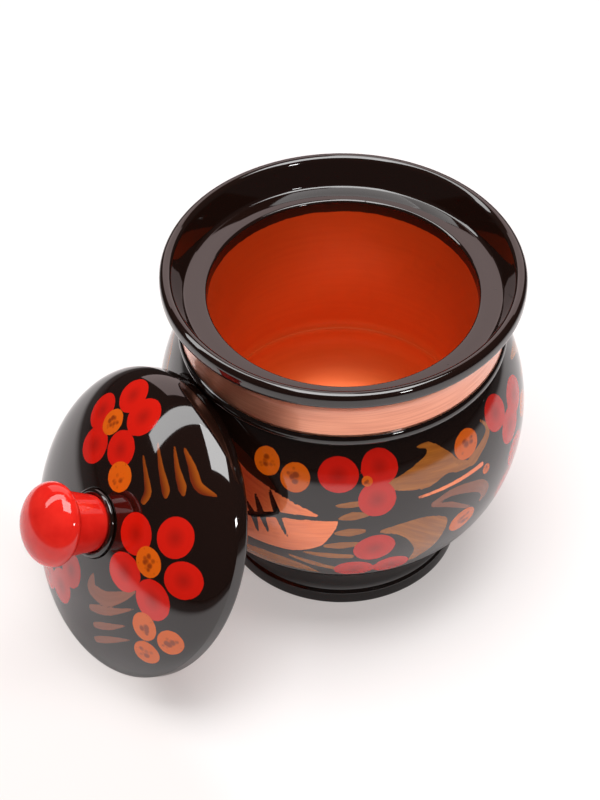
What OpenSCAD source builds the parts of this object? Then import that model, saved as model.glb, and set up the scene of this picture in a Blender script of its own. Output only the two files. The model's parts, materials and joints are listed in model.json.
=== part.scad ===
// Turned wooden salt pot with a loose domed lid and a red knob.
// The pot stands on the table at the origin. The lid is off, leaning on the pot's shoulder.

/* [Foot] */
// Radius of the foot on the table
foot_r = 31.1; // [29:0.1:35]
// Height of the foot up to the underside of the belly
foot_h = 13.6; // [9:0.1:18]
// Height of the foot's straight lower rim
foot_rim_h = 3.6; // [2:0.1:6]
// How far the foot draws in above its rim
foot_draw = 0.8; // [0.3:0.1:1.5]

/* [Belly] */
// How far the belly stands out past the neck
belly_out = 6.1; // [4:0.1:9]
// Half the height of the oval that gives the belly its curve
belly_half = 32.1; // [29:0.1:36]
// Radius of the circle on which that oval is centred
belly_core_r = 26.8; // [25:0.1:28]

/* [Neck and lip] */
// Thickness left between the recess and the foot of the neck, which carries the copper band
neck_wall = 1; // [0.8:0.1:3]
// Height of the neck from its bead to the underside of the lip
neck_h = 13.5; // [10:0.1:18]
// How far the shoulder dips below the neck's radius
crease_depth = 0.6; // [0.4:0.1:2]
// Height of the bead at the foot of the neck
bead_h = 3; // [2:0.1:4]
// Depth of the half oval that the bead is
bead_depth = 1.05; // [0.6:0.05:1.5]
// How far the bead stands out past the neck
bead_out = 0.7; // [0.3:0.05:1]
// How far the flared lip stands out past the neck
lip_out = 4.8; // [4:0.1:7]
// Height of the lip's outer face
lip_h = 4.6; // [3.8:0.1:7]
// Rounding of the lip's edges
lip_round = 1.6; // [1:0.1:1.8]

/* [Mouth] */
// Radius of the recess that the lid drops into, at the ledge
recess_r = 40.2; // [36:0.1:45]
// Depth of the ledge below the top of the lip
recess_depth = 7.2; // [6:0.1:10]
// Rounding in the corner of the recess
recess_fillet = 1.1; // [0.6:0.1:2]
// Width of the ledge that carries the lid
ledge_w = 5.9; // [4:0.1:8]
// Rounding of the ledge's inner edge
mouth_round = 0.8; // [0.4:0.1:1.2]

/* [Hollow] */
// How far the hollow narrows from the mouth down to its bowl
bowl_draw = 1.7; // [0.5:0.1:4]
// Height of the bowl that closes the hollow
bowl_h = 20.5; // [14:0.5:26]
// Wood left between the bowl and the foot
floor_wall = 5.8; // [4:0.1:8]

/* [Lid] */
// Room between the lid's edge and the recess
lid_clear = 0.8; // [0.3:0.1:2]
// Rounding of the lid's lower edge
lid_round = 1.4; // [0.8:0.1:2]
// Height at which the lid's edge starts to curve into the dome
lid_edge_h = 2.2; // [2:0.1:4]
// Height of the dome, from the rim to the seat of the knob
dome_h = 18.4; // [15:0.1:23]
// Fullness of the dome: 2 is an oval, more is squarer
dome_full = 1.9; // [1.7:0.05:2.6]
// Width of the lid's flat rim
lid_rim_w = 5.4; // [4:0.1:8]
// Thickness of the dome at its top
dome_wall = 5; // [4:0.1:7]

/* [Knob] */
// Radius of the stem where it meets the lid
stem_r = 7.1; // [5:0.1:8]
// Radius of the stem under the head
stem_top_r = 8.7; // [6:0.1:9.2]
// Length of the stem
stem_h = 10.6; // [8:0.1:18]
// Radius of the head
head_r = 10.7; // [10:0.05:14]
// Height of the rounding under the head's rim
head_under = 1.8; // [1:0.1:3]
// Height of the head's dome above its rim
head_dome = 6.3; // [4:0.1:9]
// Radius of the tenon that is glued into the lid
tenon_r = 4; // [3:0.1:4.8]
// Glue gap round the tenon
tenon_gap = 0.1; // [0.05:0.05:0.2]
// Rounding of the ring that is turned on the lid round the stem
ring_round = 0.8; // [0.6:0.05:1.5]
// Gap between that ring and the stem
ring_gap = 0.1; // [0.05:0.05:0.3]

/* [Leaning lid] */
// How far the lid's axis points up from level
lean = 27.7; // [20:0.1:35]
// Direction from the pot's middle to the lid's middle, counted from +X
lid_side = 215; // [0:1:359]
// How far the lid is turned off that direction
lid_yaw = 3; // [0:0.5:6]
// Gap between the leaning lid and the pot
lean_gap = 0.3; // [0.2:0.05:1]
// Gap between the leaning lid and the table
table_gap = 0.3; // [0.25:0.05:1]

/* [Hidden] */
$fn = 96;

// Number of steps in a short rounding and in a long curve
round_steps = 8;
curve_steps = 28;

black = "#1c1210";
red = "#d62a26";

// Points on an oval arc in the plane of radius and height, from angle a0 to a1
function oval(c, rx, ry, a0, a1, steps) =
    [for (i = [0:steps]) let (a = a0 + (a1 - a0) * i / steps) c + [rx * cos(a), ry * sin(a)]];

// A power of a value that rounding may have left just below zero
function power(v, e) = pow(max(v, 0), e);

// Radii that follow from the recess
neck_r = recess_r + neck_wall;
lip_r = neck_r + lip_out;
mouth_r = recess_r - ledge_w;
belly_r = neck_r + belly_out;

// Belly: an oval carried round the axis, standing on the foot
belly_w = belly_r - belly_core_r;
waist_r = foot_r - foot_draw;
waist_a = -acos((waist_r - belly_core_r) / belly_w);
belly_z = foot_h - belly_half * sin(waist_a);
belly_c = [belly_core_r, belly_z];
crease_r = neck_r - crease_depth;
crease_a = acos((crease_r - belly_core_r) / belly_w);
crease_z = belly_z + belly_half * sin(crease_a);

// Neck and lip, stacked on the shoulder
bead_c = [neck_r + bead_out - bead_depth, crease_z + bead_h / 2];
neck_z = crease_z + bead_h;
lip_z = neck_z + neck_h;
pot_h = lip_z + lip_h;
lip_core_r = lip_r - lip_round;
ledge_z = pot_h - recess_depth;
slope_a = 90 + atan2(recess_depth, lip_core_r - lip_round - recess_r);
flare_power = 4;

// Hollow: a wall that narrows a little from the ledge down, closed by a bowl
bowl_r = mouth_r - bowl_draw;
bowl_z = foot_h + floor_wall + bowl_h;

foot_side = [[0, 0], [foot_r, 0], [foot_r, foot_rim_h], [waist_r, foot_rim_h + foot_draw]];
belly_side = oval(belly_c, belly_w, belly_half, waist_a, crease_a, curve_steps);
bead_side = oval(bead_c, bead_depth, bead_h / 2, -90, 90, round_steps);
neck_side = [
    for (i = [1:round_steps])
        let (s = i / round_steps)
        [neck_r + (lip_core_r - neck_r) * pow(s, flare_power), neck_z + neck_h * s]
];
lip_side = concat(
    oval([lip_core_r, lip_z + lip_round], lip_round, lip_round, -90, 0, round_steps),
    oval([lip_core_r, pot_h - lip_round], lip_round, lip_round, 0, slope_a, 2 * round_steps)
);
fillet_c = [recess_r + recess_fillet * (1 - sin(slope_a)) / cos(slope_a), ledge_z + recess_fillet];
mouth_side = concat(
    oval(fillet_c, recess_fillet, recess_fillet, slope_a - 180, -90, round_steps),
    oval([mouth_r + mouth_round, ledge_z - mouth_round], mouth_round, mouth_round, 90, 180, round_steps)
);
hollow_side = oval([0, bowl_z], bowl_r, bowl_h, 0, -90, curve_steps);
pot_outside = concat(foot_side, belly_side, bead_side, neck_side, lip_side);

// Lid, in its own upright frame with the rim at height 0
lid_r = recess_r - lid_clear;
hollow_r = lid_r - lid_rim_w;
hollow_h = dome_h - dome_wall;
ring_r = stem_r + ring_gap + ring_round;
hole_r = tenon_r + tenon_gap;
dome_rise = dome_h - lid_edge_h;

// Angle at which the dome's curve reaches the ring round the stem
seat_a = acos(power(ring_r / lid_r, dome_full / 2));

function dome(r, low, rise, a1) = [
    for (i = [0:curve_steps])
        let (a = a1 * i / curve_steps)
        [r * power(cos(a), 2 / dome_full), low + rise * power(sin(a), 2 / dome_full)]
];

lid_side_points = concat(
    [[0, 0]],
    oval([lid_r - lid_round, lid_round], lid_round, lid_round, -90, 0, round_steps),
    dome(lid_r, lid_edge_h, dome_rise, seat_a),
    [[ring_r, dome_h], [0, dome_h]]
);
lid_hollow_points = concat([[0, 0]], dome(hollow_r, 0, hollow_h, 90));

// Where the leaning lid stands: its edge just off the table, its rim just off the pot
edge_core_r = lid_r - lid_round;
lid_mid_z = table_gap + edge_core_r * cos(lean) + lid_round * (1 - sin(lean));
rim_top_z = lid_mid_z + edge_core_r * cos(lean);
edge_z = rim_top_z + lid_round * sin(lean);
edge_room = lid_round + lean_gap;

// Distance of the lid's middle from the pot's axis that keeps a point of the pot clear of the lid
function clear_of_rim(p) = p.x + (p.y - lid_mid_z) * tan(lean) + lean_gap / cos(lean);
function clear_of_edge(p) =
    p.x + sqrt(edge_room * edge_room - pow(p.y - edge_z, 2)) + edge_core_r * sin(lean) - lid_round * cos(lean);

lid_mid_r = max([
    for (p = pot_outside)
        if (p.y < edge_z + edge_room)
            p.y < rim_top_z ? clear_of_rim(p) : clear_of_edge(p)
]) / cos(lid_yaw);

module leaning() {
    rotate([0, 0, lid_side])
        translate([lid_mid_r, 0, lid_mid_z])
            rotate([0, 0, -lid_yaw])
                rotate([0, 90 - lean, 0])
                    children();
}

module pot() {
    color(black)
        rotate_extrude()
            polygon(concat(pot_outside, mouth_side, hollow_side));
}

module lid() {
    color(black)
        leaning()
            difference() {
                rotate_extrude()
                    union() {
                        polygon(lid_side_points);
                        translate([ring_r, dome_h])
                            circle(ring_round);
                    }
                rotate_extrude()
                    polygon(lid_hollow_points);
                cylinder(r = hole_r, h = dome_h + ring_round);
            }
}

module knob() {
    stem_side = [[stem_r, 0], [stem_top_r, stem_h]];
    rim_c = [stem_top_r, stem_h + head_under];
    head_side = concat(
        oval(rim_c, head_r - stem_top_r, head_under, -90, 0, round_steps),
        oval([0, rim_c.y], head_r, head_dome, 0, 90, curve_steps)
    );
    tenon_side = [[0, -dome_wall], [tenon_r, -dome_wall], [tenon_r, 0]];
    color(red)
        leaning()
            translate([0, 0, dome_h])
                rotate_extrude()
                    polygon(concat(tenon_side, stem_side, head_side));
}

pot();
lid();
knob();
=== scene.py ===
import json
import math

import bpy
import numpy as np
from mathutils import Euler, Matrix


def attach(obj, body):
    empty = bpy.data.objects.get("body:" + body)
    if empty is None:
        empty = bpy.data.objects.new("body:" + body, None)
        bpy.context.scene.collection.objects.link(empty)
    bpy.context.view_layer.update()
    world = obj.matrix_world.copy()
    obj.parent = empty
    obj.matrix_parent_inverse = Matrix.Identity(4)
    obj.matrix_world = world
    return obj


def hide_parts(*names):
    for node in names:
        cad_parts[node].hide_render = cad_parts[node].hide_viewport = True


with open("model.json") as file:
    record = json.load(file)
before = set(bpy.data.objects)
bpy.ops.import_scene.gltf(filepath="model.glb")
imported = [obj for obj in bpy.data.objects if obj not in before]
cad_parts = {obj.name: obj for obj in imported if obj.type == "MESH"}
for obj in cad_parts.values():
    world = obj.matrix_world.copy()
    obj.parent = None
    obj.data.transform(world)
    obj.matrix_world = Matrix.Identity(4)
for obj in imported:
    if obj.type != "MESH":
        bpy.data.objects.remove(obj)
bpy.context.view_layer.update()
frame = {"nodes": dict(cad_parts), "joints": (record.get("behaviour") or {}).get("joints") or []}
print("frame loaded:", sorted(frame["nodes"]))

# lengths are in millimetres unless said otherwise, and mm turns them into metres
mm = 0.001
tiny = 1e-6
slack = 0.01
scene = bpy.context.scene
scene.view_settings.view_transform = "Standard"


def linear(hexCode):
    # sRGB hex to the linear colour that a shader socket takes
    part = np.array([int(hexCode[i:i + 2], 16) for i in (1, 3, 5)]) / 255
    low, high = part / 12.92, ((part + 0.055) / 1.055) ** 2.4
    return (*np.where(part <= 0.04045, low, high).tolist(), 1.0)


def add(tree, kind, links, **settings):
    # one node with its settings; each named input takes a value or another node's output
    node = tree.nodes.new("ShaderNode" + kind)
    for key, value in settings.items():
        setattr(node, key, value)
    for key, value in links.items():
        if isinstance(value, bpy.types.NodeSocket):
            tree.links.new(value, node.inputs[key])
        else:
            node.inputs[key].default_value = value
    return node


def ranged(tree, value, low, high, toLow=0.0, toHigh=1.0, curve="LINEAR"):
    ends = {0: value, 1: low, 2: high, 3: toLow, 4: toHigh}
    return add(tree, "MapRange", ends, interpolation_type=curve).outputs[0]


def mixed(tree, amount, below, above):
    return add(tree, "Mix", {0: amount, 6: below, 7: above}, data_type="RGBA").outputs[2]


def reckon(tree, operation, first, second):
    return add(tree, "Math", {0: first, 1: second}, operation=operation).outputs[0]


def layer(tree, name, output="Fac"):
    return add(tree, "Attribute", {}, attribute_name=name).outputs[output]


def objectPlace(tree):
    return add(tree, "TexCoord", {}).outputs["Object"]


def noise(tree, place, size, detail):
    # noise whose cells are size millimetres across where place is in metres
    return add(tree, "TexNoise", {"Vector": place, "Scale": 1 / (size * mm), "Detail": detail}).outputs[0]


def cells(tree, place, size):
    return add(tree, "TexVoronoi", {"Vector": place, "Scale": 1 / (size * mm)}).outputs


def stretched(tree, place, scale):
    return add(tree, "Mapping", {0: place, 3: scale}).outputs[0]


def bumped(tree, pattern, height, strength, below=None):
    # a bump of a height in millimetres, on top of another one if there is one
    links = {"Strength": strength, "Distance": height * mm, "Height": pattern}
    if below is not None:
        links["Normal"] = below
    return add(tree, "Bump", links).outputs[0]


def startMaterial(name, constants):
    mat = bpy.data.materials.new(name)
    mat.use_nodes = True
    shader = mat.node_tree.nodes["Principled BSDF"]
    for key, value in constants.items():
        shader.inputs[key].default_value = value
    return mat, mat.node_tree, shader


# camera: a long lens that looks along +Y and down, in the photo's upright frame
shot = {"place": (-10.81, -557.31, 590.03), "down": 44.4, "lens": 135.0, "film": 36.0, "nearest": 10.0}

camera = bpy.data.objects.new("camera", bpy.data.cameras.new("camera"))
camera.data.lens = shot["lens"]
camera.data.sensor_width = shot["film"]
camera.data.clip_start = shot["nearest"] * mm
camera.location = [v * mm for v in shot["place"]]
camera.rotation_euler = (math.radians(90 - shot["down"]), 0, 0)
scene.collection.objects.link(camera)
scene.camera = camera
print("camera set")


def ovalArc(mid, rx, ry, start, end, count):
    # points of an oval: middle + (rx cos a, ry sin a), with a running from start to end in degrees
    a = np.radians(np.linspace(start, end, count))
    return np.stack([mid[0] + rx * np.cos(a), mid[1] + ry * np.sin(a)], 1)


def roundArc(mid, radius, start, end, count):
    # the same with one radius
    return ovalArc(mid, radius, radius, start, end, count)


def straight(p, q, count):
    # evenly spaced points from p to q, both included
    t = np.linspace(0, 1, count)[:, None]
    return np.array(p) * (1 - t) + np.array(q) * t


def joinParts(parts):
    # parts of a profile put end to end; a point that repeats the one before it is dropped,
    # and the strip that ends in a point belongs to that point's part
    points = np.concatenate([p for _, p in parts])
    zones = np.concatenate([np.full(len(p), zone) for zone, p in parts])
    fresh = np.ones(len(points), bool)
    fresh[1:] = np.hypot(*np.diff(points, axis=0).T) > tiny
    return points[fresh], zones[fresh]


def turned(name, profile, zones, columns, place, materials):
    # the profile's points (r, h) carried round an axis: (r cos a, r sin a, h), then put in place;
    # a profile that ends on the axis closes in a pole, any other one runs back to its start
    poles = profile[0, 0] < tiny
    body = profile[1:-1] if poles else profile
    rows = len(body)
    a = np.arange(columns) * 2 * np.pi / columns
    r, h = body[:, :1], body[:, 1:]
    points = np.stack([r * np.cos(a), r * np.sin(a), h + 0 * a], 2).reshape(-1, 3)
    grid = np.arange(rows * columns).reshape(rows, columns)
    here, above = (grid[:-1], grid[1:]) if poles else (grid, np.roll(grid, -1, 0))
    quads = np.stack([here, np.roll(here, -1, 1), np.roll(above, -1, 1), above], 2)
    faces = quads.reshape(-1, 4).tolist()
    strip = zones[2:-1] if poles else np.roll(zones, -1)
    zone = np.repeat(strip, columns)
    if poles:
        ends = np.array([[0, 0, profile[0, 1]], [0, 0, profile[-1, 1]]])
        points = np.concatenate([points, ends])
        start, end = len(points) - 2, len(points) - 1
        first, last = grid[0], grid[-1]
        faces += np.stack([np.full(columns, start), np.roll(first, -1), first], 1).tolist()
        faces += np.stack([last, np.roll(last, -1), np.full(columns, end)], 1).tolist()
        zone = np.concatenate([zone, np.full(columns, zones[1]), np.full(columns, zones[-1])])
    mesh = bpy.data.meshes.new(name)
    mesh.from_pydata((place(points) * mm).tolist(), [], faces)
    for m in materials:
        mesh.materials.append(m)
    mesh.polygons.foreach_set("material_index", zone.astype(np.int32))
    mesh.polygons.foreach_set("use_smooth", np.ones(len(faces), bool))
    mesh.update()
    piece = bpy.data.objects.new(name, mesh)
    scene.collection.objects.link(piece)
    return piece, points


def smoothPath(knots, count, closed=False):
    # a curve through the knots: each stretch is the cubic that takes its slopes from the neighbours
    k = np.array(knots, float)
    k = np.concatenate([k[-1:], k, k[:2]]) if closed else np.concatenate([k[:1], k, k[-1:]])
    t = np.linspace(0, len(k) - 3, count, endpoint=not closed)
    i = np.minimum(t.astype(int), len(k) - 4)
    s = (t - i)[:, None]
    a, b, c, d = k[i], k[i + 1], k[i + 2], k[i + 3]
    bend, twist = a - 2.5 * b + 2 * c - d / 2, 1.5 * (b - c) + (d - a) / 2
    return b + s * (c - a) / 2 + s ** 2 * bend + s ** 3 * twist


# hand: how the painter's shapes are worked out, and what lies outside them, in millimetres
hand = {
    "swell": 0.04, "swellTurn": 2.4, "strokePoints": 70, "knotPoints": 16, "thinnest": 0.1,
    "bare": -4.0, "halo": -0.6, "streakStep": 7.0,
}


def berryDepth(spot, berry, number):
    # radius less distance from the middle; the radius swells a little along one direction
    x, y, r = berry
    dx, dy = spot(x, y)
    away = np.hypot(dx, dy)
    turn = np.arctan2(dy, dx) - hand["swellTurn"] * number
    swell = r * (1 + hand["swell"] * np.cos(2 * turn))
    return swell - away, away / swell, dx, dy


def strokeDepth(spot, stroke, number):
    # half the width at the nearest point of the path, less the distance to it;
    # the width runs evenly from each of its values to the next
    knots, widths = stroke
    path = smoothPath(knots, hand["strokePoints"])
    dx, dy = spot(path[0, 0], path[0, 1])
    px, py = dx[:, None] - (path[:, 0] - path[0, 0]), dy[:, None] - (path[:, 1] - path[0, 1])
    gap = np.hypot(px, py)
    near = gap.argmin(1)
    pick = np.arange(len(dx))
    half = np.interp(near / (len(path) - 1), np.linspace(0, 1, len(widths)), widths) / 2
    way = np.gradient(path, axis=0)
    way /= np.hypot(*way.T)[:, None]
    side = way[near, 0] * py[pick, near] - way[near, 1] * px[pick, near]
    along = near / (len(path) - 1) * np.hypot(*(path[-1] - path[0]))
    return half - gap[pick, near], np.abs(side) / np.maximum(half, hand["thinnest"]), along, side


def leafDepth(spot, leaf, number):
    # distance to the nearest point of the outline, positive where a level ray crosses it an odd
    # number of times
    edge = smoothPath(leaf, hand["knotPoints"] * len(leaf), closed=True)
    dx, dy = spot(*edge[0])
    ex, ey = (edge - edge[0]).T
    gap = np.hypot(dx[:, None] - ex, dy[:, None] - ey).min(1)
    fx, fy = np.roll(ex, -1), np.roll(ey, -1)
    level = (ey > dy[:, None]) != (fy > dy[:, None])
    rise = np.where(fy == ey, 1.0, fy - ey)
    cross = level & (dx[:, None] < ex + (dy[:, None] - ey) * (fx - ex) / rise)
    inside = cross.sum(1) % 2 == 1
    far = np.argmax(np.hypot(ex, ey))
    way = math.atan2(ey[far], ex[far])
    along = dx * math.cos(way) + dy * math.sin(way)
    side = dy * math.cos(way) - dx * math.sin(way)
    return np.where(inside, gap, -gap), 0 * gap, along, side


def writeLayer(piece, name, values, kind="FLOAT"):
    data = piece.data.attributes.new(name, kind, "POINT").data
    data.foreach_set("value" if kind == "FLOAT" else "vector", values.astype(np.float32).ravel())


paints = ("leaf", "fan", "brown", "bronze", "vein", "red", "ochre")
paintKinds = {
    "berries": berryDepth, "loneBerries": berryDepth, "strokes": strokeDepth, "leaves": leafDepth,
}


def paintOn(piece, chart, dry, painting, around=None, shifts=(0,)):
    # writes, for every point, how deep it lies inside each paint's shapes, in millimetres;
    # middle is 0 at a shape's centre line and 1 at its edge, brush follows the stroke;
    # all shapes but the lone berries are painted once for each shift
    total = len(piece.data.vertices)
    wet = np.flatnonzero(~dry)
    middle, brush = np.ones(total), np.zeros((total, 3))
    number = 0
    for paintName in paints:
        depth = np.full(total, hand["bare"])
        for kind, items in painting.get(paintName, {}).items():
            turns = shifts[:1] if kind == "loneBerries" else shifts
            for shift, item in [(shift, item) for shift in turns for item in items]:
                number += 1

                def spot(x, y):
                    dx = chart[wet, 0] - x - shift
                    if around:
                        dx = (dx + around / 2) % around - around / 2
                    return dx, chart[wet, 1] - y

                deep, mid, along, side = paintKinds[kind](spot, item, number)
                better = deep > depth[wet]
                depth[wet[better]] = deep[better]
                keep = better & (deep > hand["halo"])
                middle[wet[keep]] = mid[keep]
                other = np.full(len(along), hand["streakStep"] * number)
                brush[wet[keep]] = np.stack([along, side, other], 1)[keep]
        writeLayer(piece, paintName, depth)
    writeLayer(piece, "middle", middle)
    writeLayer(piece, "brush", brush, "FLOAT_VECTOR")


# painted black lacquer: oil paint dabbed on black ground under rubbed clear lacquer, which gives deep
# mirror gloss with a slow waviness, dust nibs here and there, brush streaks and soft edges on the dabs;
# sizes are in millimetres, and a part is a stretch of a pattern's values or of the way out from a
# shape's middle
lacquer = {
    "ground": "#190c08", "red": "#d0180a", "redDab": "#a2140a", "ochre": "#da5f0a", "stipple": "#7e2c06",
    "bronze": "#f2844f", "bronzeDeep": "#e67646", "leaf": "#a05a20", "leafLight": "#b46a24",
    "brown": "#8e5038", "fanDark": "#6a240a", "fanLight": "#984a10",
    "wobble": 1.6, "ragged": 0.12, "edge": (-0.1, 0.12), "streak": 1.1, "stretch": 0.08, "brushHalf": 0.8,
    "thinPart": (0.35, 0.62), "thinnest": 0.9, "leafPart": (0.4, 0.7), "bronzePart": (0.35, 0.6),
    "dabPart": (0.6, 0.1), "dabMost": 0.75,
    "dot": 1.7, "dotPart": (0.3, 0.75), "dotReach": (0.75, 0.2), "dotSoft": 0.35, "dotMost": 0.85,
    "shine": 0.85, "wave": 9.0, "waveHeight": 0.02,
    "nib": 3.2, "nibPart": (0.09, 0.02), "rarePart": (0.9, 0.92), "nibHeight": 0.08, "nibStrength": 0.5,
}


def paintedLacquer(p):
    mat, tree, shader = startMaterial("painted_black_lacquer", {
        "Roughness": 0.42, "Specular IOR Level": 0.0,
        "Coat Weight": 1.0, "Coat Roughness": 0.045, "Coat IOR": 1.65,
    })
    tone = {key: linear(value) for key, value in p.items() if isinstance(value, str)}
    place = objectPlace(tree)
    wobble = noise(tree, place, p["wobble"], detail=2.0)
    shiver = ranged(tree, wobble, 0.0, 1.0, -p["ragged"], p["ragged"])
    # the brush layer counts millimetres, so its noise has no metres to turn back
    brush = layer(tree, "brush", "Vector")
    hairs = stretched(tree, brush, (p["stretch"] / p["streak"], 1 / p["streak"], 1.0))
    streak = noise(tree, hairs, 1 / mm, detail=3.0)
    middle = layer(tree, "middle")

    def mask(paintName):
        edge = reckon(tree, "ADD", layer(tree, paintName), shiver)
        return ranged(tree, edge, *p["edge"], curve="SMOOTHSTEP")

    # thin paint: the ground shows through between the brush hairs
    thin = ranged(tree, streak, *p["thinPart"], p["thinnest"], 1.0)
    leafMask = reckon(tree, "MULTIPLY", mask("leaf"), thin)
    brownMask = reckon(tree, "MULTIPLY", mask("brown"), thin)
    bronzeMask = mask("bronze")
    leafTone = mixed(tree, ranged(tree, streak, *p["leafPart"]), tone["leaf"], tone["leafLight"])
    # each stroke of a fan was loaded with two paints, dark on one side of the brush
    across = add(tree, "SeparateXYZ", {0: brush}).outputs[1]
    fanShare = ranged(tree, across, -p["brushHalf"], p["brushHalf"])
    fanTone = mixed(tree, fanShare, tone["fanDark"], tone["fanLight"])
    bronzeTone = mixed(tree, ranged(tree, streak, *p["bronzePart"]), tone["bronzeDeep"], tone["bronze"])
    # red berries darken towards the middle, ochre ones have a few brown dots there
    dabShare = ranged(tree, middle, *p["dabPart"], 0.0, p["dabMost"])
    redTone = mixed(tree, dabShare, tone["red"], tone["redDab"])
    reach = ranged(tree, middle, *p["dotPart"], *p["dotReach"])
    dotted = reckon(tree, "SUBTRACT", reach, cells(tree, place, p["dot"])["Distance"])
    dotShare = ranged(tree, dotted, 0.0, p["dotSoft"], 0.0, p["dotMost"])
    ochreTone = mixed(tree, dotShare, tone["ochre"], tone["stipple"])
    colour = mixed(tree, leafMask, tone["ground"], leafTone)
    colour = mixed(tree, mask("fan"), colour, fanTone)
    colour = mixed(tree, brownMask, colour, tone["brown"])
    colour = mixed(tree, bronzeMask, colour, bronzeTone)
    colour = mixed(tree, mask("vein"), colour, tone["ground"])
    colour = mixed(tree, mask("red"), colour, redTone)
    colour = mixed(tree, mask("ochre"), colour, ochreTone)
    tree.links.new(colour, shader.inputs["Base Color"])
    tree.links.new(reckon(tree, "MULTIPLY", bronzeMask, p["shine"]), shader.inputs["Metallic"])

    # slow waves of the rubbed lacquer, and sparse dust nibs
    dust = cells(tree, place, p["nib"])
    nibs = ranged(tree, dust["Distance"], *p["nibPart"])
    rare = ranged(tree, add(tree, "SeparateColor", {0: dust["Color"]}).outputs[0], *p["rarePart"])
    waves = bumped(tree, noise(tree, place, p["wave"], detail=1.0), p["waveHeight"], strength=1.0)
    specks = reckon(tree, "MULTIPLY", nibs, rare)
    bump = bumped(tree, specks, p["nibHeight"], p["nibStrength"], waves)
    tree.links.new(bump, shader.inputs["Normal"])
    tree.links.new(bump, shader.inputs["Coat Normal"])
    return mat


# copper bronze paint: metal powder in varnish, brushed on while the neck turned, so fine bright streaks
# run round it
bronze = {
    "pale": "#ea9c7c", "deep": "#de8e70", "streak": 0.35, "length": 14.0, "tonePart": (0.36, 0.6),
    "roughPart": (0.3, 0.7), "rough": (0.42, 0.3), "height": 0.03, "strength": 0.4,
}


def bronzePaint(p):
    mat, tree, shader = startMaterial("copper_bronze_paint", {
        "Metallic": 0.85, "Coat Weight": 0.6, "Coat Roughness": 0.06, "Coat IOR": 1.5,
    })
    squeeze = stretched(tree, objectPlace(tree), (1 / p["length"], 1 / p["length"], 1 / p["streak"]))
    streak = noise(tree, squeeze, 1.0, detail=3.0)
    colour = mixed(tree, ranged(tree, streak, *p["tonePart"]), linear(p["deep"]), linear(p["pale"]))
    tree.links.new(colour, shader.inputs["Base Color"])
    tree.links.new(ranged(tree, streak, *p["roughPart"], *p["rough"]), shader.inputs["Roughness"])
    tree.links.new(bumped(tree, streak, p["height"], p["strength"]), shader.inputs["Normal"])
    return mat


# orange lacquer: varnish over metal powder inside the turned hollow, so it glows and deepens with each
# bounce
# floor is the painted light on the bowl's bottom, a paler orange where the overhead lamp falls and shines
inner = {
    "pale": "#ca5018", "deep": "#c64c16", "floor": "#f87a2a", "ring": 1.2, "wave": 16.0,
    "tonePart": (0.35, 0.65), "floorLightPart": (0.8, 0.95), "wobble": 5.0, "ragged": 0.6, "edge": (-0.15, 0.15),
    "roughPart": (0.3, 0.7), "rough": (0.38, 0.44), "height": 0.02, "strength": 0.1,
}


def orangeLacquer(p):
    mat, tree, shader = startMaterial("orange_lacquer", {
        "Metallic": 0.3, "IOR": 1.5, "Coat Weight": 0.25, "Coat Roughness": 0.12, "Coat IOR": 1.5,
    })
    place = objectPlace(tree)
    squeeze = stretched(tree, place, (1 / p["wave"], 1 / p["wave"], 1 / p["ring"]))
    rings = noise(tree, squeeze, 1.0, detail=2.0)
    colour = mixed(tree, ranged(tree, rings, *p["tonePart"]), linear(p["deep"]), linear(p["pale"]))
    # the floor of the bowl is painted paler: a painted pool of light and highlight where the overhead lamp
    # falls into the bottom
    floorLight = ranged(tree, layer(tree, "down"), *p["floorLightPart"], curve="SMOOTHSTEP")
    colour = mixed(tree, floorLight, colour, linear(p["floor"]))
    # the black of the ledge ends in a ragged edge
    wobble = noise(tree, place, p["wobble"], detail=3.0)
    shiver = ranged(tree, wobble, 0.0, 1.0, -p["ragged"], p["ragged"])
    edge = reckon(tree, "ADD", layer(tree, "brim"), shiver)
    over = ranged(tree, edge, *p["edge"], curve="SMOOTHSTEP")
    colour = mixed(tree, over, colour, linear(lacquer["ground"]))
    tree.links.new(colour, shader.inputs["Base Color"])
    tree.links.new(ranged(tree, rings, *p["roughPart"], *p["rough"]), shader.inputs["Roughness"])
    tree.links.new(bumped(tree, rings, p["height"], p["strength"]), shader.inputs["Normal"])
    return mat


# red lacquer: thick glossy coat on the knob, even in colour with a faint depth, so it shines like a cherry
cherry = {
    "pale": "#e82a20", "deep": "#dc221a", "cloud": 5.0, "tonePart": (0.35, 0.65),
    "wave": 6.0, "waveHeight": 0.012,
}


def redLacquer(p):
    mat, tree, shader = startMaterial("red_lacquer", {
        "Roughness": 0.5, "Specular IOR Level": 0.0,
        "Coat Weight": 1.0, "Coat Roughness": 0.03, "Coat IOR": 1.5,
    })
    place = objectPlace(tree)
    share = ranged(tree, noise(tree, place, p["cloud"], detail=2.0), *p["tonePart"])
    colour = mixed(tree, share, linear(p["deep"]), linear(p["pale"]))
    tree.links.new(colour, shader.inputs["Base Color"])
    bump = bumped(tree, noise(tree, place, p["wave"], detail=1.0), p["waveHeight"], strength=1.0)
    tree.links.new(bump, shader.inputs["Normal"])
    tree.links.new(bump, shader.inputs["Coat Normal"])
    return mat


blackMat, copperMat = paintedLacquer(lacquer), bronzePaint(bronze)
orangeMat, redMat = orangeLacquer(inner), redLacquer(cherry)
print("lacquers mixed")

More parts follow.
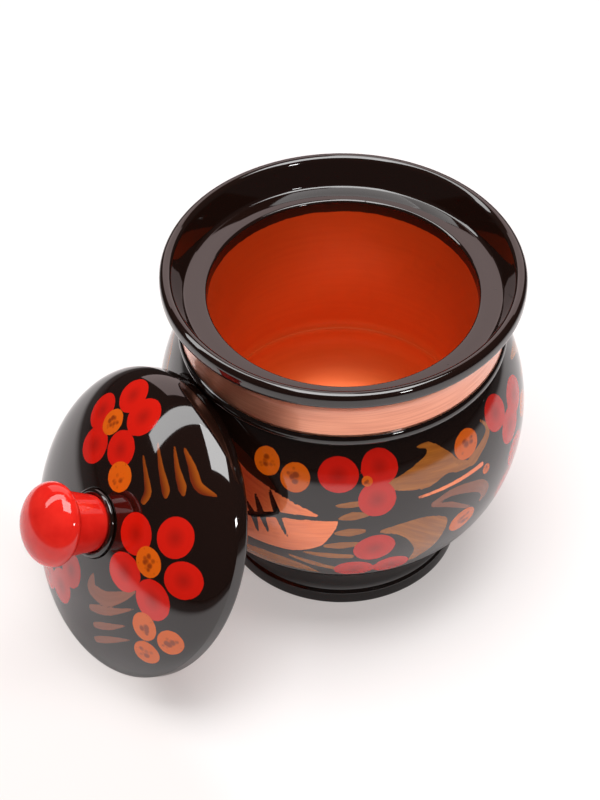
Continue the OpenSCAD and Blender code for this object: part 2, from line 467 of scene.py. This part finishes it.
# pot: foot, belly, bead, neck, lip, ledge, throat and hollow, turned in one
pot = {
    "footR": 31.1, "footH": 13.6, "footRim": 3.6, "footDraw": 0.8, "footRound": 0.5, "footLine": 0.4,
    "bellyR": 47.3, "bellyHalf": 32.1, "coreR": 26.8,
    "neckR": 41.2, "neckH": 13.5, "creaseR": 40.6, "beadH": 3.0, "beadDepth": 1.05, "beadOut": 0.7,
    "lipR": 46.0, "lipH": 4.6, "lipRound": 1.6, "flare": 4,
    "recessR": 40.2, "recessDepth": 7.2, "fillet": 1.1,
    "mouthR": 34.3, "mouthRound": 0.8, "blackThroat": 2.6,
    "bowlDraw": 1.7, "bowlH": 20.5, "floorWall": 5.8, "ridge": 0.35,
    "paintLow": 0.5, "paintOff": 1.0, "columns": 440, "bellyRows": 102, "neckRows": 15, "bowlRows": 26,
    "wallRows": 14, "beadRows": 14, "lipRows": 14, "shortRows": 8, "cornerRows": 7, "edgeRows": 6,
    "footRows": 5, "bevelRows": 4, "flatRows": 3,
}
black, copper, orange = 0, 1, 2
chartSteps = 400


def potProfile(p):
    # foot, oval belly, half-oval bead, neck that flares with a power of its height, rounded lip,
    # sloping recess, ledge, and a hollow with a straight wall, a fine ridge and a bowl that is half an oval
    wide, waistR = p["bellyR"] - p["coreR"], p["footR"] - p["footDraw"]
    waist = -math.degrees(math.acos((waistR - p["coreR"]) / wide))
    midZ = p["footH"] - p["bellyHalf"] * math.sin(math.radians(waist))
    crease = math.degrees(math.acos((p["creaseR"] - p["coreR"]) / wide))
    creaseZ = midZ + p["bellyHalf"] * math.sin(math.radians(crease))
    beadMid = (p["neckR"] + p["beadOut"] - p["beadDepth"], creaseZ + p["beadH"] / 2)
    neckZ = creaseZ + p["beadH"]
    lipZ = neckZ + p["neckH"]
    topZ = lipZ + p["lipH"]
    lipCore = p["lipR"] - p["lipRound"]
    ledgeZ = topZ - p["recessDepth"]
    slope = math.degrees(math.atan2(p["recessDepth"], lipCore - p["lipRound"] - p["recessR"])) + 90
    turn = math.radians(slope)
    cornerR = p["recessR"] + p["fillet"] * (1 - math.sin(turn)) / math.cos(turn)
    edgeR, edgeZ = p["mouthR"] + p["mouthRound"], ledgeZ - p["mouthRound"]
    bowlR, bowlZ = p["mouthR"] - p["bowlDraw"], p["footH"] + p["floorWall"] + p["bowlH"]
    ridgeR, ridgeZ = bowlR - p["ridge"], bowlZ - p["ridge"]
    s = np.linspace(0, 1, p["neckRows"])
    neck = np.stack([p["neckR"] + (lipCore - p["neckR"]) * s ** p["flare"], neckZ + p["neckH"] * s], 1)
    soleR, rimTop = p["footR"] - p["footRound"], p["footRim"] + p["footDraw"]
    rim = (p["footR"], p["footRim"])
    parts = [
        (black, straight((0, 0), (soleR, 0), p["flatRows"])),
        (black, roundArc((soleR, p["footRound"]), p["footRound"], -90, 0, p["footRows"])),
        (black, straight((p["footR"], p["footRim"] - p["footLine"]), rim, 2)),
        (black, straight(rim, (waistR, rimTop), p["bevelRows"])),
        (black, straight((waistR, rimTop), (waistR, p["footH"]), p["footRows"])),
        (black, ovalArc((p["coreR"], midZ), wide, p["bellyHalf"], waist, crease, p["bellyRows"])),
        (black, ovalArc(beadMid, p["beadDepth"], p["beadH"] / 2, -90, 90, p["beadRows"])),
        (black, straight((beadMid[0], neckZ), (p["neckR"], neckZ), 2)),
        (copper, neck),
        (black, roundArc((lipCore, lipZ + p["lipRound"]), p["lipRound"], -90, 0, p["shortRows"])),
        (black, roundArc((lipCore, topZ - p["lipRound"]), p["lipRound"], 0, slope, p["lipRows"])),
        (black, roundArc((cornerR, ledgeZ + p["fillet"]), p["fillet"], slope - 180, -90, p["cornerRows"])),
        (black, straight((cornerR, ledgeZ), (edgeR, ledgeZ), p["flatRows"])),
        (black, roundArc((edgeR, edgeZ), p["mouthRound"], 90, 180, p["edgeRows"])),
        (orange, straight((p["mouthR"], edgeZ), (bowlR, bowlZ), p["wallRows"])),
        (orange, straight((bowlR, bowlZ), (ridgeR, ridgeZ), p["flatRows"])),
        (orange, ovalArc((0, ridgeZ), ridgeR, p["bowlH"] - p["ridge"], 0, -90, p["bowlRows"])),
    ]
    profile, zones = joinParts(parts)
    heights = {
        "mid": midZ, "crease": creaseZ,
        "paint": edgeZ - p["blackThroat"], "floor": p["footH"] + p["floorWall"],
    }
    return profile, zones, heights


potLine, potZones, potZ = potProfile(pot)
shellMats = [blackMat, copperMat, orangeMat]
potPiece, potPoints = turned("pot_shell", potLine, potZones, pot["columns"], lambda v: v, shellMats)

# the black of the ledge runs a little way down into the hollow
depthDown = potZ["paint"] - potPoints[:, 2]
writeLayer(potPiece, "brim", np.maximum(-depthDown, hand["bare"]))
# down runs from the edge of the black to the bowl's floor and carries the painted light on the bottom
writeLayer(potPiece, "down", np.clip(depthDown / (potZ["paint"] - potZ["floor"]), 0, 1))

# the belly's chart, in millimetres: round the widest line from the front, and up the curve from it
around = 2 * math.pi * pot["bellyR"]
bellyWide = pot["bellyR"] - pot["coreR"]
lift = np.clip((potPoints[:, 2] - potZ["mid"]) / pot["bellyHalf"], -1, 1)
sweep = np.linspace(-math.pi / 2, math.pi / 2, chartSteps)
step = np.hypot(bellyWide * np.sin(sweep), pot["bellyHalf"] * np.cos(sweep))
rise = np.concatenate([[0], np.cumsum((step[1:] + step[:-1]) / 2 * np.diff(sweep))])
bellyUp = np.interp(np.arcsin(lift), sweep, rise - np.interp(0, sweep, rise))
bellyChart = np.stack([np.arctan2(potPoints[:, 0], -potPoints[:, 1]) * pot["bellyR"], bellyUp], 1)
potR = np.hypot(potPoints[:, 0], potPoints[:, 1])
onBelly = potR > pot["footR"] - pot["footDraw"] - slack
onBelly &= potPoints[:, 2] > pot["footH"] - pot["paintLow"]
onBelly &= potPoints[:, 2] < potZ["crease"] + slack
onBelly &= np.abs(potR - pot["coreR"] - bellyWide * np.sqrt(1 - lift ** 2)) < pot["paintOff"]

# pot painting on that chart: berries (x, y, radius), strokes (path, widths from start to end) and leaf
# outlines; a second sprig, the last lines of leaf, brown, red and ochre, fills the room between two
# rounds of the first
potPainting = {
    "leaf": {
        "leaves": [
            [(11, 13.5), (17, 16), (22.5, 18.5), (23, 20.2), (20, 21.3), (24.5, 21.5), (29.5, 17),
             (32.5, 13), (38.5, 9.5), (32, 9.7), (28, 11), (22, 9.4), (13.5, 11.2)],
            [(9, -1.5), (14, 0), (21, 0), (27, -3), (28, -7), (25.5, -14.5), (19, -19.5), (19, -12),
             (15, -4.7)],
        ],
        "strokes": [
            ([(36.5, 10.5), (42.5, 13.5), (44.2, 16), (42.5, 19)], (3.2, 1.8, 0.6)),
            ([(-2, 8), (4.5, 8.7)], (0.6, 1.8, 1.6)),
            ([(-1, 4), (2.3, 4.8), (6, 5)], (0.8, 2.8, 1.2)),
            ([(-2, -1.2), (5, -0.5)], (1.0, 3.0, 1.4)),
            ([(-4.5, -6.4), (3.5, -5.4)], (1.2, 2.8, 1.6)),
            ([(-10, -10.2), (2, -11)], (0.8, 2.4, 1.8)),
            ([(-14.5, -13), (-2, -18)], (0.8, 2.4, 1.8)),
            ([(-26, -19.5), (-21, -18.8), (-16, -18.7), (-11, -20), (-6.8, -22.6)],
             (9.0, 8.6, 6.8, 4.4, 0.6)),
            ([(68, 20), (76, 17), (84, 10)], (0.8, 3.4, 1.0)),
            ([(70, 12), (77, 9), (83, 3)], (0.8, 3.2, 1.0)),
            ([(70, 3), (77, 1), (82, -4)], (0.8, 3.2, 1.0)),
            ([(88, 10), (97, 15), (106, 14)], (1.0, 4.4, 0.8)),
        ],
    },
    "brown": {
        "strokes": [
            ([(23, 3.6), (30, 4.3), (38, 1), (41, -3), (39.5, -5.5)], (0.8, 2.6, 3.8, 3.4, 1.2)),
            ([(23, 3), (28.5, 0.6), (35, -4.6)], (0.8, 1.8, 1.0)),
            ([(66, -8), (76, -14), (88, -14)], (1.0, 3.6, 1.0)),
            ([(92, 3), (100, 5), (108, 1)], (0.8, 3.4, 0.8)),
        ],
    },
    "bronze": {
        "leaves": [
            [(-34, 15.5), (-25.5, 12.5), (-19.3, 10.3), (-6.2, 4.5), (-16.5, 3.6), (-23.4, 1), (-32, -1)],
            [(-32, -2.5), (-23.4, -0.8), (-16, 1.8), (-3, 3.1), (-1.4, 2.5), (-3.6, -3), (-6.5, -7),
             (-14, -10.5), (-24.5, -10.2), (-31, -9)],
        ],
        "strokes": [([(19.3, 7.2), (39.6, 7.2)], (0.7, 1.2, 1.5))],
    },
    "vein": {
        "strokes": [
            ([(-33, -2), (-23.5, -0.1), (-13.5, 3.3), (-6, 3.9)], (1.2, 1.4, 1.0, 0.6)),
            ([(-19.3, 10), (-17.2, 4), (-14.3, -4.7)], (0.6, 2.0, 0.6)),
            ([(-23, 7), (-21.3, 1.7), (-19.3, -5)], (0.6, 2.0, 0.6)),
            ([(-26, 4.5), (-23.4, -0.5), (-22.4, -6)], (0.6, 1.9, 0.6)),
        ],
    },
    "red": {
        "berries": [
            (-1.5, 17, 5.2), (9.5, 18.5, 5.0), (8.5, 9.5, 5.1), (8, -8, 5.4), (3, -19, 5.3),
            (13.5, -19, 5.1),
            (49, 17, 4.9), (54.5, 9, 5.0), (60.5, 14, 5.1), (57.5, -2, 5.1), (53, -11, 5.0),
            (86, -5, 5.2), (96, -8, 5.1), (88, -20, 5.0), (99, -18.5, 5.1),
        ],
        "loneBerries": [(92, 19.5, 4.9)],
    },
    "ochre": {
        "berries": [
            (-21, 17.5, 3.8), (-12.8, 15, 4.1), (35.5, 16, 4.1), (33.5, -8.7, 4.2), (6, 15, 1.5),
            (41.2, 4.6, 1.5),
            (105, -9, 4.0), (78, -21, 4.0), (66, 6, 3.8),
        ],
        "loneBerries": [(102, 20.5, 3.9)],
    },
}
paintOn(potPiece, bellyChart, ~onBelly, potPainting, around, (0, around / 2))
print("pot turned and painted:", len(potPiece.data.polygons), "faces")

# lid: its axis is the joint's, its middle and rim come from the node's own mesh
lidAxis = np.array(frame["joints"][0]["axis"])
lidAxis /= np.linalg.norm(lidAxis)
lidRight = np.cross((0, 0, 1), lidAxis)
lidRight /= np.linalg.norm(lidRight)
lidUp = np.cross(lidAxis, lidRight)
lidMesh = frame["nodes"]["lid"].data
corners = np.empty(3 * len(lidMesh.vertices))
lidMesh.vertices.foreach_get("co", corners)
corners = corners.reshape(-1, 3) / mm
halfway = [(np.min(corners @ way) + np.max(corners @ way)) / 2 for way in (lidRight, lidUp)]
lidPlace = halfway[0] * lidRight + halfway[1] * lidUp + np.min(corners @ lidAxis) * lidAxis


def leaning(v):
    # a point in the lid's own frame: right, up in the rim's plane, and out along the axis
    return lidPlace + v @ np.stack([lidRight, lidUp, lidAxis])


lid = {
    "radius": 39.4, "round": 1.4, "edge": 2.2, "height": 18.4, "full": 1.9, "rim": 5.4, "wall": 5.0,
    "domeR": 39.65, "crest": 0.8, "crestTo": 22.0, "holeR": 4.1, "ringR": 8.0, "ring": 0.8,
    "ringFrom": -37.0, "bevel": 0.4, "bevelUp": 0.3, "hollowFrom": 4.0, "paintOff": 0.3,
    "columns": 512, "domeRows": 92, "hollowRows": 30, "ringRows": 12, "edgeRows": 8, "crestRows": 7,
    "rimRows": 4,
}


def domeLine(radius, low, rise, start, end, count, full):
    # a full oval: radius times cos to the power 2 / full, rise times sin to the same power
    a = np.radians(np.linspace(start, end, count))
    e = 2 / full
    return np.stack([radius * np.maximum(np.cos(a), 0) ** e, low + rise * np.maximum(np.sin(a), 0) ** e], 1)


def domeAngle(r, radius, full):
    # the angle at which such an oval has the radius r
    return math.degrees(math.acos((r / radius) ** (full / 2)))


def lidProfile(p):
    # rim, rounded edge, crest, full dome, half-round ring about the stem, seat, hole and the hollow
    # underside; the dome's oval is a little wider than the lid, so that it meets the edge at a soft crest
    hollowR, hollowH = p["radius"] - p["rim"], p["height"] - p["wall"]
    ringEnd = p["ringR"] + p["ring"] * math.cos(math.radians(p["ringFrom"]))
    domeEnd = domeAngle(ringEnd, p["domeR"], p["full"])
    crestR = p["radius"] - p["crest"] * (1 - math.cos(math.radians(p["crestTo"])))
    domeStart = domeAngle(crestR, p["domeR"], p["full"])
    rise = p["height"] - p["edge"]
    dome = domeLine(p["domeR"], p["edge"], rise, domeStart, domeEnd, p["domeRows"], p["full"])
    crestZ = dome[0, 1] - p["crest"] * math.sin(math.radians(p["crestTo"]))
    crestMid = (p["radius"] - p["crest"], crestZ)
    hollowEnd = domeAngle(p["holeR"], hollowR, p["full"])
    hollow = domeLine(hollowR, 0, hollowH, hollowEnd, p["hollowFrom"], p["hollowRows"], p["full"])
    edgeMid = (p["radius"] - p["round"], p["round"])
    bevelEnd = (hollowR + p["bevel"], 0)
    ringMid, seat = (p["ringR"], p["height"]), (p["ringR"] - p["ring"], p["height"])
    parts = [
        (black, straight(bevelEnd, (edgeMid[0], 0), p["rimRows"])),
        (black, roundArc(edgeMid, p["round"], -90, 0, p["edgeRows"])),
        (black, roundArc(crestMid, p["crest"], 0, p["crestTo"], p["crestRows"])),
        (black, dome),
        (black, roundArc(ringMid, p["ring"], p["ringFrom"], 180, p["ringRows"])),
        (black, straight(seat, (p["holeR"], p["height"]), 2)),
        (orange, hollow),
        (black, straight((hollowR, p["bevelUp"]), bevelEnd, 2)),
    ]
    return joinParts(parts)


lidLine, lidZones = lidProfile(lid)
lidPiece, lidPoints = turned("lid_shell", lidLine, lidZones, lid["columns"], leaning, shellMats)

# the lid's chart: the dome rolled out flat about its middle, right and up as seen from outside
arch = domeLine(lid["radius"], lid["edge"], lid["height"] - lid["edge"], 90, 0, chartSteps, lid["full"])
archLength = np.concatenate([[0], np.cumsum(np.hypot(*np.diff(arch, axis=0).T))])
lidR = np.hypot(lidPoints[:, 0], lidPoints[:, 1])
rolledOut = np.interp(lidR, arch[:, 0], archLength) / np.maximum(lidR, slack)
lidChart = lidPoints[:, :2] * rolledOut[:, None]
onDome = lidPoints[:, 2] > np.interp(lidR, arch[:, 0], arch[:, 1]) - lid["paintOff"]
onDome &= lidR > lid["ringR"] + lid["ring"] / 2

# lid painting: three rounds of five red berries about an ochre one, with fans of strokes between them
lidPainting = {
    "fan": {"strokes": [
        ([(3, 23.5), (7.5, 20.5), (10.5, 18), (11, 15.5)], (0.5, 1.2, 1.9, 2.4, 1.8)),
        ([(4, 28.5), (10, 24.5), (14, 22), (15.5, 20.5)], (0.5, 1.3, 2.1, 2.4, 1.2)),
        ([(8.5, 31), (13.5, 27.5), (17, 25.5), (19, 24)], (0.5, 1.3, 2.1, 2.4, 1.2)),
        ([(11, 32.5), (16, 30.5), (21, 28), (26, 29)], (0.5, 1.7, 2.6, 2.4, 0.6)),
    ]},
    "brown": {"strokes": [
        ([(7, -11), (8, -14.5), (13, -14), (17.5, -10), (21, -5.5)], (0.8, 4.0, 4.4, 3.0, 0.8)),
        ([(9.5, -20), (16, -16), (22.5, -10)], (1.8, 2.6, 2.2, 1.2, 0.3)),
        ([(12, -24), (17.5, -20), (21.5, -16.5)], (1.6, 2.2, 1.8, 1.0, 0.3)),
        ([(13, -28.5), (19, -23.5), (24, -19.5)], (1.8, 2.2, 1.8, 1.0, 0.3)),
    ]},
    "red": {"berries": [
        (-14, 31, 4.9), (-19.5, 21.5, 4.8), (-5.5, 30, 5.2), (-13.5, 14.5, 5.0), (-4.5, 20, 4.9),
        (14, 7.5, 5.2), (24, 14, 5.3), (31.5, 6, 5.2), (16, -3, 5.2), (26.5, -4, 5.3),
        (-1.5, -16.5, 4.7), (-4.6, -24.4, 5.0), (-13.5, -27, 5.0), (-19, -19, 5.0), (-12.5, -8.5, 4.8),
    ]},
    "ochre": {"berries": [
        (-13, 22.5, 3.6), (0.5, 15, 4.0), (21, 4, 3.9), (27, -12.5, 3.8), (35, -12.5, 3.8), (29.5, -20, 3.7),
        (-10, -17.5, 3.7),
    ]},
}
writeLayer(lidPiece, "brim", np.full(len(lidPoints), hand["bare"]))
writeLayer(lidPiece, "down", np.zeros(len(lidPoints)))
paintOn(lidPiece, lidChart, ~onDome, lidPainting)
print("lid turned and painted:", len(lidPiece.data.polygons), "faces")

# knob: tenon, stem and a domed head, turned in one
knob = {
    "stemR": 7.1, "stemTopR": 8.7, "stemH": 10.6, "headR": 10.7, "under": 1.8, "dome": 6.3,
    "tenonR": 4.0, "tenonH": 5.0, "columns": 192, "tenonRows": 4, "stemRows": 12, "underRows": 14,
    "headRows": 48,
}
red = 0


def knobProfile(p):
    # tenon, stem that widens evenly, rounded underside and oval head
    rimZ = p["stemH"] + p["under"]
    tenonEnd = (p["tenonR"], -p["tenonH"])
    rimMid, rimWide = (p["stemTopR"], rimZ), p["headR"] - p["stemTopR"]
    parts = [
        (red, straight((0, -p["tenonH"]), tenonEnd, p["tenonRows"])),
        (red, straight(tenonEnd, (p["tenonR"], 0), p["tenonRows"])),
        (red, straight((p["stemR"], 0), (p["stemTopR"], p["stemH"]), p["stemRows"])),
        (red, ovalArc(rimMid, rimWide, p["under"], -90, 0, p["underRows"])),
        (red, ovalArc((0, rimZ), p["headR"], p["dome"], 0, 90, p["headRows"])),
    ]
    line, zones = joinParts(parts)
    line[[0, -1], 0] = 0
    return line + np.array([0, lid["height"]]), zones


knobLine, knobZones = knobProfile(knob)
knobPiece = turned("knob_turned", knobLine, knobZones, knob["columns"], leaning, [redMat])[0]
print("knob turned:", len(knobPiece.data.polygons), "faces")

pieces = (
    (potPiece, "pot", "pot", "black_lacquer"),
    (lidPiece, "lid", "lid", "black_lacquer"),
    (knobPiece, "lid", "knob", "red_lacquer"),
)
for piece, body, node, slot in pieces:
    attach(piece, body)
    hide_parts(node)

# floor: white paper near the object, fading to the grey of the dim studio farther out; its lengths are
# in metres
floor = {
    # white is a little warm, which paints warm bounce light into the floor's shadows
    "half": 3.0, "near": 0.26, "far": 0.40, "paper": "#f4f2f2", "white": "#fdf5f2", "grey": "#6a6868",
    "lift": 0.38, "mirrorLift": 0.1, "glareLift": 0.74,
    "glareWay": (-0.85, -0.53, 0.0), "glareFrom": 0.066, "glareTo": 0.082,
}

floorMesh = bpy.data.meshes.new("floor")
floorCorners = [(x * floor["half"], y * floor["half"], 0) for x, y in ((-1, -1), (1, -1), (1, 1), (-1, 1))]
floorMesh.from_pydata(floorCorners, [], [(0, 1, 2, 3)])
floorPiece = bpy.data.objects.new("floor", floorMesh)
scene.collection.objects.link(floorPiece)


def mattePaper(p):
    # matte paper: plain white without any gloss, on which only soft shadows show
    mat, tree, shader = startMaterial("matte_paper", {"Roughness": 0.9, "Specular IOR Level": 0.0})
    place = objectPlace(tree)
    away = add(tree, "VectorMath", {0: place}, operation="LENGTH").outputs["Value"]
    dim = ranged(tree, away, p["near"], p["far"], curve="SMOOTHSTEP")
    paperTone = mixed(tree, dim, linear(p["paper"]), linear(p["grey"]))
    warmLiftTone = mixed(tree, dim, linear(p["white"]), linear(p["grey"]))
    tree.links.new(paperTone, shader.inputs["Base Color"])
    # part of what the camera sees is the paper's own white, so shadows stay soft and pale; that white is
    # tinted warm, a painted warm bounce light in the shadows; mirrors and glass see less of it
    seen = add(tree, "LightPath", {}).outputs
    bounced = reckon(tree, "MAXIMUM", seen["Is Glossy Ray"], seen["Is Transmission Ray"])
    mirrored = reckon(tree, "MULTIPLY", bounced, p["mirrorLift"])
    # the paper beyond the lid is over-exposed, so the shadow fades there
    beyond = add(tree, "VectorMath", {0: place, 1: p["glareWay"]}, operation="DOT_PRODUCT").outputs["Value"]
    glare = (p["glareFrom"], p["glareTo"], p["lift"], p["glareLift"])
    lifted = ranged(tree, beyond, *glare, curve="SMOOTHSTEP")
    direct = reckon(tree, "MULTIPLY", seen["Is Camera Ray"], lifted)
    share = reckon(tree, "MAXIMUM", direct, mirrored)
    plain = add(tree, "Emission", {"Color": warmLiftTone, "Strength": 1.0}).outputs[0]
    both = add(tree, "MixShader", {0: share, 1: shader.outputs[0], 2: plain}).outputs[0]
    tree.links.new(both, tree.nodes["Material Output"].inputs["Surface"])
    return mat


floorMesh.materials.append(mattePaper(floor))

# studio: a dim room, a bright soft box overhead, a long strip at the left that only mirrors show, a pale
# warm wall behind, a small spot in front that leaves a sparkle, and two wide fills that mirrors don't
# show; az, from +Y towards +X, and el, from level, give the direction from the room's middle, away and
# size are in metres, faces is how steeply the box looks down, roll turns it in its own plane, and glow
# is its brightness with white paper at 1
room = {"grey": "#3e3c3c", "middle": 40.0}
lamps = [
    {
        "name": "high_box", "az": 118, "el": 85, "faces": 90, "roll": 116, "away": 1.0,
        "size": (0.68, 0.56), "glow": 8.2, "tint": "#ffffff", "mirror": True, "lights": True,
    },
    {
        "name": "left_strip", "az": -71, "el": 45, "faces": 90, "roll": 25, "away": 1.4,
        "size": (0.32, 1.95), "glow": 5.4, "tint": "#ffffff", "mirror": True, "lights": False,
    },
    {
        "name": "back_wall", "az": 2, "el": 34, "faces": 34, "roll": 0, "away": 1.0,
        "size": (1.45, 0.62), "glow": 1.5, "tint": "#ffe6e4", "mirror": True, "lights": True,
    },
    {
        "name": "front_spot", "az": 147, "el": 34, "faces": 34, "roll": 0, "away": 0.28,
        "size": (0.024, 0.024), "glow": 40.0, "tint": "#ffffff", "mirror": True, "lights": True,
    },
    {
        "name": "front_fill", "az": -152, "el": 52, "faces": 52, "roll": 0, "away": 1.0,
        "size": (1.4, 1.0), "glow": 0.7, "tint": "#ffffff", "mirror": False, "lights": True,
    },
    {
        "name": "top_fill", "az": -60, "el": 78, "faces": 90, "roll": 0, "away": 1.0,
        "size": (0.8, 0.8), "glow": 0.95, "tint": "#ffffff", "mirror": False, "lights": True,
    },
]
world = bpy.data.worlds.new("dim_room")
world.use_nodes = True
world.node_tree.nodes["Background"].inputs["Color"].default_value = linear(room["grey"])
scene.world = world
for lamp in lamps:
    az, el = math.radians(lamp["az"]), math.radians(lamp["el"])
    light = bpy.data.lights.new(lamp["name"], "AREA")
    light.shape = "RECTANGLE"
    light.size, light.size_y = lamp["size"]
    light.energy = lamp["glow"] * math.pi * light.size * light.size_y
    light.color = linear(lamp["tint"])[:3]
    holder = bpy.data.objects.new(lamp["name"], light)
    way = np.array((math.cos(el) * math.sin(az), math.cos(el) * math.cos(az), math.sin(el)))
    holder.location = way * lamp["away"] + np.array((0, 0, room["middle"] * mm))
    facing = Euler((math.pi / 2 - math.radians(lamp["faces"]), 0, math.pi - az)).to_matrix()
    holder.rotation_euler = (facing @ Matrix.Rotation(math.radians(lamp["roll"]), 3, "Z")).to_euler()
    holder.visible_glossy = lamp["mirror"]
    holder.visible_diffuse = lamp["lights"]
    scene.collection.objects.link(holder)
print("stage lit")
